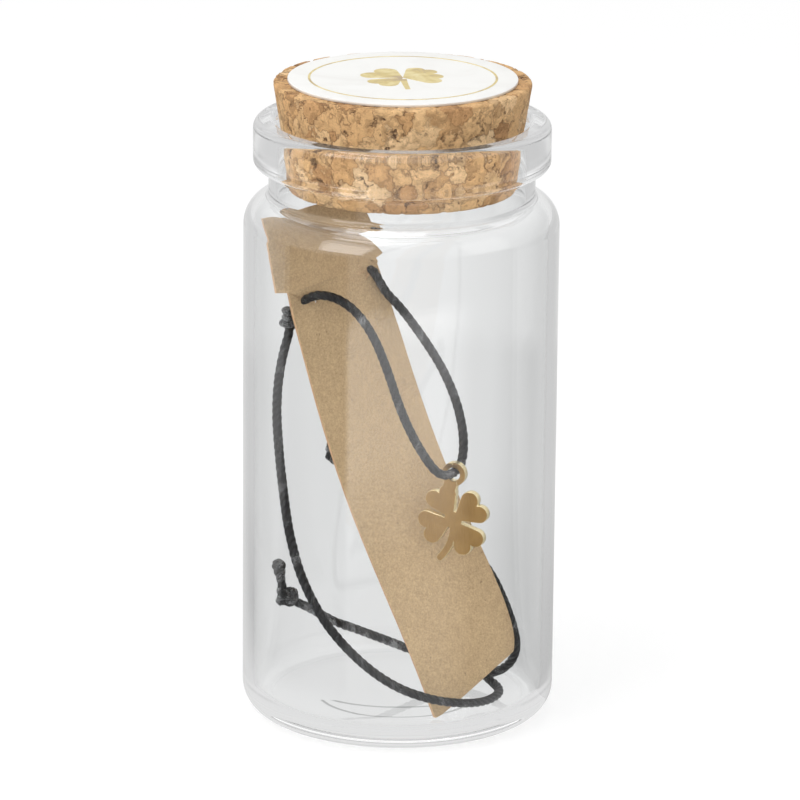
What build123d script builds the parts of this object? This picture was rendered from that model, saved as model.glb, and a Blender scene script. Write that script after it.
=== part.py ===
from build123d import *
import math
import os

os.makedirs("parts", exist_ok=True)

# A corked glass vial with a slit kraft card inside it. A waxed cord bracelet is
# threaded through the card's two slits and carries a flat four-leaf charm.
# The origin is the middle of the foot ring, and +Z runs up the vial.

# Glass vial
body_radius = 18.5
bottle_height = 72.0
wall = 1.3
neck_wall = 1.05
floor_thickness = 2.0
foot_rounding = 3.4
punt_depth = 0.6
foot_ring_width = 2.2
inner_foot_rounding = 2.6
shoulder_drop = 10.0
shoulder_width = 2.9
shoulder_rounding = 3.6
shoulder_slope = 20.0
neck_rounding = 0.7
rim_overhang = 1.8
rim_height = 5.6
rim_rounding = 1.0
rim_inner_rounding = 0.9
inner_neck_rounding = 1.1

# Cork and the paper disc on it
cork_length = 12.65
cork_insertion = 8.1
cork_taper = 0.16
cork_clearance = 0.08
cork_rounding = 0.6
disc_border = 1.8
disc_thickness = 0.35
disc_rounding = 0.12

# Kraft card
card_headroom = 1.7
card_thickness = 0.5
card_seat_gap = 0.15
head_flare = 1.25
slit_length = 3.6
slit_gap = 0.12
slit_angle = 31.0
pinhole_radius = 0.18
cut_overrun = 3.0

# Cord, its knots and the charm
cord_diameter = 1.1
cord_clearance = 0.1
end_knot_radius = 1.45
end_knot_length = 2.5
slip_knot_radius = 1.3
slip_knot_length = 3.2
knot_waist = 0.25
charm_thickness = 0.9
eye_radius = 0.8
eye_rim = 0.62
eye_play = 0.05
clover_drop = 5.6
leaf_reach = 3.15
lobe_radius = 1.05
lobe_offset = 0.95
hub_radius = 1.1
charm_neck_radius = 0.8
stem_width = 0.8
stem_length = 5.0
stem_bow = 0.55

# Angles of the four leaves and the stem, seen from the front, from +X
leaf_angles = (36.0, 119.0, 202.0, 308.0)
stem_angle = 252.0

# The cord's route, from one knotted end to the other
route = [
    (-14.3, -1.0, 18.4),
    (-14.0, -1.0, 16.1),
    (-13.5, -0.8, 13.6),
    (-11.0, -0.3, 12.5),
    (-8.0, 0.8, 10.3),
    (-4.9, 2.0, 8.8),
    (-1.4, 3.4, 7.0),
    (2.0, 4.4, 5.3),
    (5.2, 4.4, 3.9),
    (8.2, 2.9, 3.25),
    (10.8, 1.3, 3.5),
    (12.7, 0.0, 4.6),
    (13.8, -1.2, 6.3),
    (14.1, -2.3, 8.5),
    (13.6, -2.8, 11.1),
    (12.5, -3.2, 14.3),
    (11.0, -3.5, 17.7),
    (8.4, -3.1, 21.1),
    (6.0, -2.2, 25.7),
    (3.4, -1.2, 30.9),
    (0.8, -0.4, 37.0),
    (-1.4, 0.0, 42.9),
    (-3.0, 0.5, 47.5),
    (-4.05, 1.0, 50.3),
    (-4.5, 1.25, 52.2),
    (-4.25, 0.9, 53.55),
    (-3.35, -0.35, 54.0),
    (-2.6, -1.2, 53.0),
    (-1.8, -1.5, 51.6),
    (0.0, -2.4, 50.0),
    (2.5, -3.4, 46.9),
    (5.0, -4.6, 43.2),
    (6.6, -5.9, 39.6),
    (7.3, -6.9, 36.6),
    (7.4, -7.5, 34.8),
    (7.3, -7.9, 33.4),
    (6.9, -8.8, 32.45),
    (5.85, -11.3, 32.25),
    (4.5, -11.75, 32.5),
    (3.2, -11.1, 33.9),
    (1.5, -9.7, 36.4),
    (-0.1, -8.6, 39.8),
    (-1.5, -7.6, 44.0),
    (-3.1, -6.8, 47.8),
    (-5.1, -6.1, 50.5),
    (-7.2, -5.65, 51.9),
    (-9.0, -5.5, 52.3),
    (-10.1, -5.1, 52.05),
    (-11.3, -4.5, 51.3),
    (-12.3, -3.8, 50.3),
    (-12.95, -3.4, 48.9),
    (-12.85, -3.25, 47.2),
    (-13.5, -3.35, 45.0),
    (-14.1, -3.5, 41.7),
    (-14.3, -3.8, 37.8),
    (-14.0, -4.4, 33.4),
    (-13.4, -5.4, 28.4),
    (-12.6, -6.9, 23.4),
    (-11.1, -8.8, 18.5),
    (-8.4, -10.8, 13.8),
    (-4.7, -12.6, 10.0),
    (-0.6, -14.1, 7.3),
    (3.5, -14.7, 5.9),
    (7.2, -13.4, 4.9),
    (10.0, -11.1, 4.3),
    (11.7, -8.8, 4.4),
    (11.9, -6.6, 4.5),
    (11.1, -4.7, 4.7),
    (9.4, -3.5, 5.9),
    (7.0, -2.7, 9.2),
    (4.4, -2.55, 13.7),
    (1.7, -2.6, 18.9),
    (-0.8, -2.8, 24.0),
    (-3.4, -3.0, 28.2),
    (-5.9, -3.2, 30.9),
    (-8.1, -3.3, 32.2),
    (-7.5, -3.2, 34.2),
]
# Places along the route, counted in points from its first end
left_knot_index = 2
slip_knot_index = 50
back_knot_index = 75
eye_index = 36
slit_index_spans = ((22, 30), (44, 53))

# Each arc takes this share of the shorter of its two runs
arc_share = 0.45

# The card's lean and twist: where the middle of its width stands from its foot, as
# shares of the vial's inner radius and of the card's length, with its width's turn and tilt
card_lean_shares = [
    (0.0, 0.0, 0.0),
    (-0.0755, 0.0255, 0.0841),
    (-0.1716, 0.0546, 0.1563),
    (-0.623, 0.2406, 0.4673),
    (-0.8279, 0.3075, 0.6523),
    (-0.9853, 0.3714, 0.7963),
    (-1.1267, 0.4296, 0.9353),
]
card_turns = (39.1, 28.7, 24.6, 29.6, 29.7, 31.4, 30.2)
card_tilts = (28.1, 16.3, 12.1, 9.9, 11.4, 12.6, 11.1)
card_foot_share = (0.5167, -0.5022)
card_width_shares = (0.762, 0.762, 0.768, 0.764, 0.731, 0.697, 0.719)

inner_radius = body_radius - wall
neck_radius = body_radius - shoulder_width
bore_radius = neck_radius - neck_wall
rim_radius = neck_radius + rim_overhang
shoulder_height = bottle_height - shoulder_drop
neck_start = shoulder_height + (body_radius - neck_radius) * math.tan(math.radians(shoulder_slope))
inner_shoulder = shoulder_height - wall * math.tan(math.radians(90 - shoulder_slope) / 2)
inner_neck_start = inner_shoulder + (inner_radius - bore_radius) * math.tan(math.radians(shoulder_slope))
cork_bottom = bottle_height - cork_insertion
cork_mouth_radius = bore_radius - cork_clearance
cork_foot_radius = cork_mouth_radius - cork_insertion * cork_taper
cork_top_radius = cork_foot_radius + cork_length * cork_taper
card_length = cork_bottom - floor_thickness - card_headroom
card_widths = [share * inner_radius for share in card_width_shares]


def glass_corner(x, y):
    return glass_section.vertices().sort_by_distance((x, y))[0]


with BuildPart() as bottle_glass:
    with BuildSketch(Plane.XZ) as glass_section:
        foot_ring = body_radius - foot_rounding - foot_ring_width
        with BuildLine():
            Polyline(
                (foot_ring, 0),
                (body_radius, 0),
                (body_radius, shoulder_height),
                (neck_radius, neck_start),
                (neck_radius, bottle_height - rim_height),
                (rim_radius, bottle_height - rim_height),
                (rim_radius, bottle_height),
                (bore_radius, bottle_height),
                (bore_radius, inner_neck_start),
                (inner_radius, inner_shoulder),
                (inner_radius, floor_thickness),
                (0, floor_thickness),
                (0, punt_depth),
            )
            ThreePointArc(
                (0, punt_depth),
                (foot_ring / 2, punt_depth * 3 / 4),
                (foot_ring, 0),
            )
        make_face()
        fillet(glass_corner(body_radius, 0), foot_rounding)
        fillet(glass_corner(body_radius, shoulder_height), shoulder_rounding)
        fillet(glass_corner(neck_radius, neck_start), neck_rounding)
        fillet(glass_corner(neck_radius, bottle_height - rim_height), neck_rounding)
        fillet(glass_corner(rim_radius, bottle_height - rim_height), rim_rounding)
        fillet(glass_corner(rim_radius, bottle_height), rim_rounding)
        fillet(glass_corner(bore_radius, bottle_height), rim_inner_rounding)
        fillet(glass_corner(bore_radius, inner_neck_start), inner_neck_rounding)
        fillet(glass_corner(inner_radius, inner_shoulder), shoulder_rounding - wall)
        fillet(glass_corner(inner_radius, floor_thickness), inner_foot_rounding)
    revolve(axis=Axis.Z)
bottle_glass.part.label = "bottle_glass"
export_step(bottle_glass.part, "parts/bottle_glass.step")

# The tapered cork wedges at the mouth
with BuildPart() as cork_stopper:
    with BuildSketch(Plane.XZ):
        with BuildLine():
            Polyline(
                (0, cork_bottom),
                (cork_foot_radius, cork_bottom),
                (cork_top_radius, cork_bottom + cork_length),
                (0, cork_bottom + cork_length),
                close=True,
            )
        make_face()
    revolve(axis=Axis.Z)
    fillet(cork_stopper.edges().filter_by(GeomType.CIRCLE), cork_rounding)
cork_stopper.part.label = "cork_stopper"
export_step(cork_stopper.part, "parts/cork_stopper.step")

with BuildPart() as cork_top_disc:
    with BuildSketch(Plane.XY.offset(cork_bottom + cork_length)):
        Circle(cork_top_radius - disc_border)
    extrude(amount=disc_thickness)
    fillet(cork_top_disc.faces().sort_by(Axis.Z)[-1].edges(), disc_rounding)
cork_top_disc.part.label = "cork_top_disc"
export_step(cork_top_disc.part, "parts/cork_top_disc.step")

# Cord: straight runs joined by arcs as large as the runs allow
route_points = [Vector(*point) for point in route]
radii = []
for before, point, after in zip(route_points, route_points[1:], route_points[2:]):
    run_in = point - before
    run_out = after - point
    half_turn = math.radians(run_in.get_angle(run_out)) / 2
    radii.append(arc_share * min(run_in.length, run_out.length) / math.tan(half_turn))
print("cord radii:", [round(radius, 2) for radius in radii])

with BuildPart() as bracelet_cord:
    with BuildLine() as cord_line:
        FilletPolyline(*route_points, radius=radii)
    with BuildSketch(Plane(route[0], z_dir=route_points[1] - route_points[0])):
        Circle(cord_diameter / 2)
    sweep(path=cord_line.wire())
bracelet_cord.part.label = "bracelet_cord"
export_step(bracelet_cord.part, "parts/bracelet_cord.step")
cord_length = cord_line.wire().length
print("cord length:", round(cord_length, 1))
print("volume ratio:", bracelet_cord.part.volume / (math.pi * cord_diameter**2 / 4 * cord_length))

# The room that the cord takes where it passes through the slits
with BuildPart() as cord_passage:
    for first, last in slit_index_spans:
        with BuildLine() as slit_pass:
            FilletPolyline(*route_points[first:last], radius=radii[first:last - 2])
        with BuildSketch(Plane(route[first], z_dir=route_points[first + 1] - route_points[first])):
            Circle(cord_diameter / 2 + cord_clearance)
        sweep(path=slit_pass.wire())

# Kraft card: it stands on the floor on one corner, leans and twists back
def width_direction(turn, tilt):
    flat = math.cos(math.radians(tilt))
    return Vector(
        flat * math.cos(math.radians(turn)),
        flat * math.sin(math.radians(turn)),
        math.sin(math.radians(tilt)),
    )


foot_direction = width_direction(card_turns[0], card_tilts[0])
card_foot = Vector(
    card_foot_share[0] * inner_radius,
    card_foot_share[1] * inner_radius,
    floor_thickness + card_seat_gap + card_thickness / 2 + card_widths[0] / 2 * foot_direction.Z,
)
card_middles = []
for x_share, y_share, z_share in card_lean_shares:
    lean = Vector(x_share * inner_radius, y_share * inner_radius, z_share * card_length)
    card_middles.append(card_foot + lean)
card_planes = []
for index, middle in enumerate(card_middles):
    across = width_direction(card_turns[index], card_tilts[index])
    lower = card_middles[max(index - 1, 0)]
    upper = card_middles[min(index + 1, len(card_middles) - 1)]
    along = (upper - lower).normalized()
    along = (along - across * along.dot(across)).normalized()
    card_planes.append(Plane(origin=middle, x_dir=across, z_dir=along))
slit_plane = card_planes[-2]
card_face = Plane(origin=slit_plane.origin, x_dir=slit_plane.x_dir, z_dir=-slit_plane.y_dir)

with BuildPart() as message_card:
    for plane, width in list(zip(card_planes, card_widths))[:-1]:
        with BuildSketch(plane):
            Rectangle(width, card_thickness)
    loft()
    # The head spreads down to its barbs at the slits
    with BuildSketch(slit_plane):
        Rectangle(card_widths[-2] + 2 * head_flare, card_thickness)
    with BuildSketch(card_planes[-1]):
        Rectangle(card_widths[-1], card_thickness)
    loft()
    with BuildSketch(card_face):
        for side in (-1, 1):
            edge = side * card_widths[-2] / 2
            inner_x = edge - side * slit_length * math.cos(math.radians(slit_angle))
            inner_y = -slit_length * math.sin(math.radians(slit_angle))
            with BuildLine() as slit_line:
                Line((edge, -slit_gap / 2), (inner_x, inner_y))
            SlotArc(slit_line.edge(), slit_gap)
            with Locations((inner_x, inner_y)):
                Circle(pinhole_radius)
            barb_x = edge + side * 2 * head_flare
            barb_y = 2 * head_flare * math.tan(math.radians(slit_angle))
            Polygon((edge, 0), (barb_x, 0), (barb_x, barb_y), align=None)
    extrude(amount=cut_overrun, both=True, mode=Mode.SUBTRACT)
    add(cord_passage.part, mode=Mode.SUBTRACT)
message_card.part.label = "message_card"
export_step(message_card.part, "parts/message_card.step")


# Each knot lies round the cord, in side-by-side turns that bulge
def knot_axis(index):
    return Plane(route[index], z_dir=route_points[index + 1] - route_points[index - 1])


def knot_section(axis_plane):
    return Plane(origin=axis_plane.origin, x_dir=axis_plane.x_dir, z_dir=-axis_plane.y_dir)


def knot_outline(turns, length, radius):
    pitch = length / turns
    waist = radius - knot_waist
    for turn in range(turns):
        start = turn * pitch - length / 2
        ThreePointArc((waist, start), (radius, start + pitch / 2), (waist, start + pitch))
    Polyline((waist, length / 2), (0, length / 2), (0, -length / 2), (waist, -length / 2))


left_knot_axis = knot_axis(left_knot_index)
with BuildPart() as end_knot_left:
    with BuildSketch(knot_section(left_knot_axis)):
        with BuildLine():
            knot_outline(2, end_knot_length, end_knot_radius)
        make_face()
    revolve(axis=Axis(left_knot_axis.origin, left_knot_axis.z_dir))
    add(bracelet_cord.part, mode=Mode.SUBTRACT)
end_knot_left.part.label = "end_knot_left"
export_step(end_knot_left.part, "parts/end_knot_left.step")

back_knot_axis = knot_axis(back_knot_index)
with BuildPart() as end_knot_back:
    with BuildSketch(knot_section(back_knot_axis)):
        with BuildLine():
            knot_outline(2, end_knot_length, end_knot_radius)
        make_face()
    revolve(axis=Axis(back_knot_axis.origin, back_knot_axis.z_dir))
    add(bracelet_cord.part, mode=Mode.SUBTRACT)
end_knot_back.part.label = "end_knot_back"
export_step(end_knot_back.part, "parts/end_knot_back.step")

slip_knot_axis = knot_axis(slip_knot_index)
with BuildPart() as slip_knot:
    with BuildSketch(knot_section(slip_knot_axis)):
        with BuildLine():
            knot_outline(3, slip_knot_length, slip_knot_radius)
        make_face()
    revolve(axis=Axis(slip_knot_axis.origin, slip_knot_axis.z_dir))
    add(bracelet_cord.part, mode=Mode.SUBTRACT)
slip_knot.part.label = "slip_knot"
export_step(slip_knot.part, "parts/slip_knot.step")

# The charm hangs plumb from the run of cord that passes through its eye
eye_run = route_points[eye_index + 1] - route_points[eye_index]
cord_in_eye = (route_points[eye_index + 1] + route_points[eye_index]) / 2
charm_front = Vector(eye_run.X, eye_run.Y, 0).normalized()
eye_drop = Vector(0, 0, eye_radius - cord_diameter / 2 - eye_play)
charm_plane = Plane(
    origin=cord_in_eye - eye_drop,
    x_dir=Vector(-charm_front.Y, charm_front.X, 0),
    z_dir=charm_front,
)
lobe_distance = math.hypot(leaf_reach, lobe_offset)
lobe_angle = math.degrees(math.atan2(lobe_offset, leaf_reach))
side_angle = lobe_angle + math.degrees(math.asin(lobe_radius / lobe_distance))
side_length = math.sqrt(lobe_distance**2 - lobe_radius**2)
eye_leaf_angle = leaf_angles[1]


def clover_point(distance, angle):
    return (
        distance * math.cos(math.radians(angle)),
        distance * math.sin(math.radians(angle)) - clover_drop,
    )


with BuildPart() as clover_charm:
    with BuildSketch(charm_plane):
        Circle(eye_radius + eye_rim)
        with Locations(clover_point(0, 0)):
            Circle(hub_radius)
        for angle in leaf_angles:
            left_lobe = clover_point(lobe_distance, angle + lobe_angle)
            right_lobe = clover_point(lobe_distance, angle - lobe_angle)
            with BuildLine():
                Polyline(
                    clover_point(0, 0),
                    clover_point(side_length, angle + side_angle),
                    left_lobe,
                    right_lobe,
                    clover_point(side_length, angle - side_angle),
                    close=True,
                )
            make_face()
            with Locations(left_lobe, right_lobe):
                Circle(lobe_radius)
        with BuildLine() as neck_line:
            Line((0, 0), clover_point(lobe_distance, eye_leaf_angle - lobe_angle))
        SlotArc(neck_line.edge(), 2 * charm_neck_radius)
        with BuildLine() as stem_line:
            SagittaArc(clover_point(0, 0), clover_point(stem_length, stem_angle), stem_bow)
        SlotArc(stem_line.edge(), stem_width)
        Circle(eye_radius, mode=Mode.SUBTRACT)
    extrude(amount=charm_thickness / 2, both=True)
clover_charm.part.label = "clover_charm"
export_step(clover_charm.part, "parts/clover_charm.step")
print("charm eye:", cord_in_eye, "front:", charm_front)
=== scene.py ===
import math

import bmesh
import bpy
from mathutils import Matrix, Vector, kdtree, noise


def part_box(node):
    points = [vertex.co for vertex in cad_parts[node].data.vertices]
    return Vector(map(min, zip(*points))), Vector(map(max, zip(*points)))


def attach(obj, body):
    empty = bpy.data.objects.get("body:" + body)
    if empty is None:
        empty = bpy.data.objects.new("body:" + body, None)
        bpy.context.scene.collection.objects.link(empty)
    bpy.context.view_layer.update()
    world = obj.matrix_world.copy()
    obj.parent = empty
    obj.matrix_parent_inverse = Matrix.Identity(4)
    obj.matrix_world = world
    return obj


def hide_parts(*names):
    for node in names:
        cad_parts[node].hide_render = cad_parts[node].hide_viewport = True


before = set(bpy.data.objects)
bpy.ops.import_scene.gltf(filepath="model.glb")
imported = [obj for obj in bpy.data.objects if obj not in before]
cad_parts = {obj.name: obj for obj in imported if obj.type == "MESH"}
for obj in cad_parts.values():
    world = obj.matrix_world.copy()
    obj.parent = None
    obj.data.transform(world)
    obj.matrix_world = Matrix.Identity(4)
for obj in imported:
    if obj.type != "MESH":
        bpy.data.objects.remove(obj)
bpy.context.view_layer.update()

# A corked glass vial with a kraft card, a waxed cord bracelet and a clover charm inside.
# Everything is in metres. The origin is the middle of the foot and +Z runs up the vial.


def addNode(tree, kind, inputs=None, **settings):
    # One node with its settings, and its inputs given as values or as other nodes' sockets
    made = tree.nodes.new(kind)
    for key, value in settings.items():
        setattr(made, key, value)
    for key, value in (inputs or {}).items():
        if isinstance(value, bpy.types.NodeSocket):
            tree.links.new(value, made.inputs[key])
        else:
            made.inputs[key].default_value = value
    return made


def maths(tree, operation, *values):
    made = addNode(tree, "ShaderNodeMath", operation=operation)
    for place, value in enumerate(values):
        if isinstance(value, bpy.types.NodeSocket):
            tree.links.new(value, made.inputs[place])
        else:
            made.inputs[place].default_value = value
    return made.outputs[0]


def plus(tree, first, second):
    return maths(tree, "ADD", first, second)


def minus(tree, first, second):
    return maths(tree, "SUBTRACT", first, second)


def times(tree, first, second):
    return maths(tree, "MULTIPLY", first, second)


def vectorMaths(tree, operation, first, second):
    # The second is a number for SCALE and a vector otherwise
    sockets = {0: first, "Scale" if operation == "SCALE" else 1: second}
    outputs = addNode(tree, "ShaderNodeVectorMath", sockets, operation=operation).outputs
    return outputs["Value"] if operation == "DOT_PRODUCT" else outputs["Vector"]


def rampColour(tree, factor, stops):
    # stops are (place, colour) pairs from the lowest to the highest
    ramp = addNode(tree, "ShaderNodeValToRGB", {"Fac": factor})
    elements = ramp.color_ramp.elements
    elements[0].position, elements[1].position = stops[0][0], stops[-1][0]
    for place, colour in stops[1:-1]:
        elements.new(place)
    for element, (place, colour) in zip(elements, stops):
        element.color = (*colour, 1)
    return ramp.outputs["Color"]


def mixColour(tree, factor, first, second, blend="MIX"):
    made = addNode(tree, "ShaderNodeMix", data_type="RGBA", blend_type=blend)
    for place, value in ((0, factor), (6, first), (7, second)):
        if isinstance(value, bpy.types.NodeSocket):
            tree.links.new(value, made.inputs[place])
        elif place:
            made.inputs[place].default_value = (*value, 1)
        else:
            made.inputs[place].default_value = value
    return made.outputs[2]


def newFinish(name, **sockets):
    # A material with one Principled shader; returns the material, its tree and the shader
    material = bpy.data.materials.new(name)
    material.use_nodes = True
    tree = material.node_tree
    tree.nodes.clear()
    shader = addNode(tree, "ShaderNodeBsdfPrincipled", sockets)
    output = addNode(tree, "ShaderNodeOutputMaterial")
    tree.links.new(shader.outputs[0], output.inputs["Surface"])
    return material, tree, shader


def addObject(name, data):
    made = bpy.data.objects.new(name, data)
    bpy.context.scene.collection.objects.link(made)
    return made


def meshFrom(name, build):
    mesh = bpy.data.meshes.new(name)
    build.to_mesh(mesh)
    build.free()
    return mesh


def meshPiece(name, build, material, body, nodes):
    # A finished piece from a bmesh: outward normals, its body, slot and CAD nodes
    bmesh.ops.remove_doubles(build, verts=build.verts, dist=1e-7)
    bmesh.ops.recalc_face_normals(build, faces=build.faces)
    return finishPiece(name, meshFrom(name, build), material, body, nodes)


def finishPiece(name, mesh, material, body, nodes):
    mesh.name = name
    if not mesh.materials:
        mesh.materials.append(material)
    piece = addObject(name, mesh)
    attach(piece, body)
    if nodes:
        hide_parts(*nodes)
    return piece


def spanned(tree, value, low, high, start=0.0, end=1.0, **settings):
    # Where a value lies between low and high, drawn out to run from start to end
    sockets = {"Value": value, "From Min": low, "From Max": high, "To Min": start, "To Max": end}
    return addNode(tree, "ShaderNodeMapRange", sockets, **settings).outputs[0]


def noiseOver(tree, place, scale, detail=2, **more):
    sockets = {"Vector": place, "Scale": scale, "Detail": detail}
    sockets.update({name.capitalize(): value for name, value in more.items()})
    return addNode(tree, "ShaderNodeTexNoise", sockets).outputs[0]


def objectPlace(tree):
    return addNode(tree, "ShaderNodeTexCoord").outputs["Object"]


def addBump(tree, shader, height, strength, distance):
    sockets = {"Strength": strength, "Distance": distance, "Height": height}
    bump = addNode(tree, "ShaderNodeBump", sockets)
    tree.links.new(bump.outputs[0], shader.inputs["Normal"])


def newShapeTree(name, body, numbers):
    # A Geometry Nodes tree whose named inputs are one body and the numbers that shape it
    tree = bpy.data.node_groups.new(name, "GeometryNodeTree")
    tree.interface.new_socket(name=body, in_out="INPUT", socket_type="NodeSocketGeometry")
    for number in numbers:
        kind = "NodeSocketInt" if number in ("Strands", "Ring Points") else "NodeSocketFloat"
        tree.interface.new_socket(name=number, in_out="INPUT", socket_type=kind)
    return tree, addNode(tree, "NodeGroupInput").outputs


def endShapeTree(tree, name, shape, material):
    shape = addNode(tree, "GeometryNodeSetShadeSmooth", {"Geometry": shape}).outputs[0]
    shape = addNode(tree, "GeometryNodeRealizeInstances", {"Geometry": shape}).outputs[0]
    shape = addNode(tree, "GeometryNodeSetMaterial", {"Geometry": shape, "Material": material}).outputs[0]
    tree.interface.new_socket(name=name, in_out="OUTPUT", socket_type="NodeSocketGeometry")
    tree.links.new(shape, addNode(tree, "NodeGroupOutput").inputs[name])
    return tree


def stored(tree, geometry, name, value, kind="FLOAT"):
    # Keeps a value on each point under a name
    sockets = {"Geometry": geometry, "Name": name, "Value": value}
    settings = {"data_type": kind, "domain": "POINT"}
    return addNode(tree, "GeometryNodeStoreNamedAttribute", sockets, **settings).outputs[0]


def evaluatedMesh(piece):
    depsgraph = bpy.context.evaluated_depsgraph_get()
    return bpy.data.meshes.new_from_object(piece.evaluated_get(depsgraph))


# Camera: the photograph's viewpoint, in front and a little above
camera = {
    "target": (0.0000165, 0, 0.037885),
    "distance": 0.6898,
    "elevation": 16.459,
    "roll": 0.544,
    "lens": 263.27,
    "sensor": 36.0,
}


def makeCamera(settings):
    data = bpy.data.cameras.new("photoCamera")
    data.lens = settings["lens"]
    data.sensor_width = settings["sensor"]
    data.clip_start = 0.01
    view = addObject("photoCamera", data)
    tilt = math.radians(settings["elevation"])
    back = Vector((0, -math.cos(tilt), math.sin(tilt))) * settings["distance"]
    roll = Matrix.Rotation(math.radians(settings["roll"]), 4, "Z")
    turn = Matrix.Rotation(math.pi / 2 - tilt, 4, "X") @ roll
    view.matrix_world = Matrix.Translation(Vector(settings["target"]) + back) @ turn
    bpy.context.scene.camera = view


makeCamera(camera)
print("camera made")

# Cord: the route's points, from the tail at the left to the knot behind the card
cord = {
    "diameter": 0.0011,
    "length": 0.256,
    "strands": 4,
    "strandDepth": 0.2,
    "layPitch": 0.0034,
    "ringStep": 0.0002,
    "ringPoints": 32,
    "tailSpread": 0.75,
    "tailLength": 0.0028,
    "tipRound": 0.0009,
    # wax flecks: how pale, and how much more of them where the cord is tied
    "fleckShare": 0.45,
    "tiedReach": (0.012, 0.034),
    "tiedWax": 0.06,
    "tiedShare": 0.2,
    "route": [
        (-0.0143, -0.001, 0.0184), (-0.014, -0.001, 0.0161), (-0.0135, -0.0008, 0.0136),
        (-0.011, -0.0003, 0.0125), (-0.008, 0.0008, 0.0103), (-0.0049, 0.002, 0.0088),
        (-0.0014, 0.0034, 0.007), (0.002, 0.0044, 0.0053), (0.0052, 0.0044, 0.0039),
        (0.0082, 0.0029, 0.00325), (0.0108, 0.0013, 0.0035), (0.0127, 0, 0.0046),
        (0.0138, -0.0012, 0.0063), (0.0141, -0.0023, 0.0085), (0.0136, -0.0028, 0.0111),
        (0.0125, -0.0032, 0.0143), (0.011, -0.0035, 0.0177), (0.0084, -0.0031, 0.0211),
        (0.006, -0.0022, 0.0257), (0.0034, -0.0012, 0.0309), (0.0008, -0.0004, 0.037),
        (-0.0014, 0, 0.0429), (-0.003, 0.0005, 0.0475), (-0.00405, 0.001, 0.0503),
        (-0.0045, 0.00125, 0.0522), (-0.00425, 0.0009, 0.05355), (-0.00335, -0.00035, 0.054),
        (-0.0026, -0.0012, 0.053), (-0.0018, -0.0015, 0.0516), (0, -0.0024, 0.05),
        (0.0025, -0.0034, 0.0469), (0.005, -0.0046, 0.0432), (0.0066, -0.0059, 0.0396),
        (0.0073, -0.0069, 0.0366), (0.0074, -0.0075, 0.0348), (0.0073, -0.0079, 0.0334),
        (0.0069, -0.0088, 0.03245), (0.00585, -0.0113, 0.03225), (0.0045, -0.01175, 0.0325),
        (0.0032, -0.0111, 0.0339), (0.0015, -0.0097, 0.0364), (-0.0001, -0.0086, 0.0398),
        (-0.0015, -0.0076, 0.044), (-0.0031, -0.0068, 0.0478), (-0.0051, -0.0061, 0.0505),
        (-0.0072, -0.00565, 0.0519), (-0.009, -0.0055, 0.0523), (-0.0101, -0.0051, 0.05205),
        (-0.0113, -0.0045, 0.0513), (-0.0123, -0.0038, 0.0503), (-0.01295, -0.0034, 0.0489),
        (-0.01285, -0.00325, 0.0472), (-0.0135, -0.00335, 0.045), (-0.0141, -0.0035, 0.0417),
        (-0.0143, -0.0038, 0.0378), (-0.014, -0.0044, 0.0334), (-0.0134, -0.0054, 0.0284),
        (-0.0126, -0.0069, 0.0234), (-0.0111, -0.0088, 0.0185), (-0.0084, -0.0108, 0.0138),
        (-0.0047, -0.0126, 0.01), (-0.0006, -0.0141, 0.0073), (0.0035, -0.0147, 0.0059),
        (0.0072, -0.0134, 0.0049), (0.01, -0.0111, 0.0043), (0.0117, -0.0088, 0.0044),
        (0.0119, -0.0066, 0.0045), (0.0111, -0.0047, 0.0047), (0.0094, -0.0035, 0.0059),
        (0.007, -0.0027, 0.0092), (0.0044, -0.00255, 0.0137), (0.0017, -0.0026, 0.0189),
        (-0.0008, -0.0028, 0.024), (-0.0034, -0.003, 0.0282), (-0.0059, -0.0032, 0.0309),
        (-0.0081, -0.0033, 0.0322), (-0.0075, -0.0032, 0.0342),
    ],
}


def makeCordLine(settings):
    data = bpy.data.curves.new("cordLine", "CURVE")
    data.dimensions = "3D"
    data.resolution_u = 12
    spline = data.splines.new("NURBS")
    spline.points.add(len(settings["route"]) - 1)
    for point, place in zip(spline.points, settings["route"]):
        point.co = (*place, 1)
    spline.order_u = 3
    spline.use_endpoint_u = True
    line = addObject("cordLine", data)
    path = evaluatedMesh(line)
    bpy.data.objects.remove(line)
    return path


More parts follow.
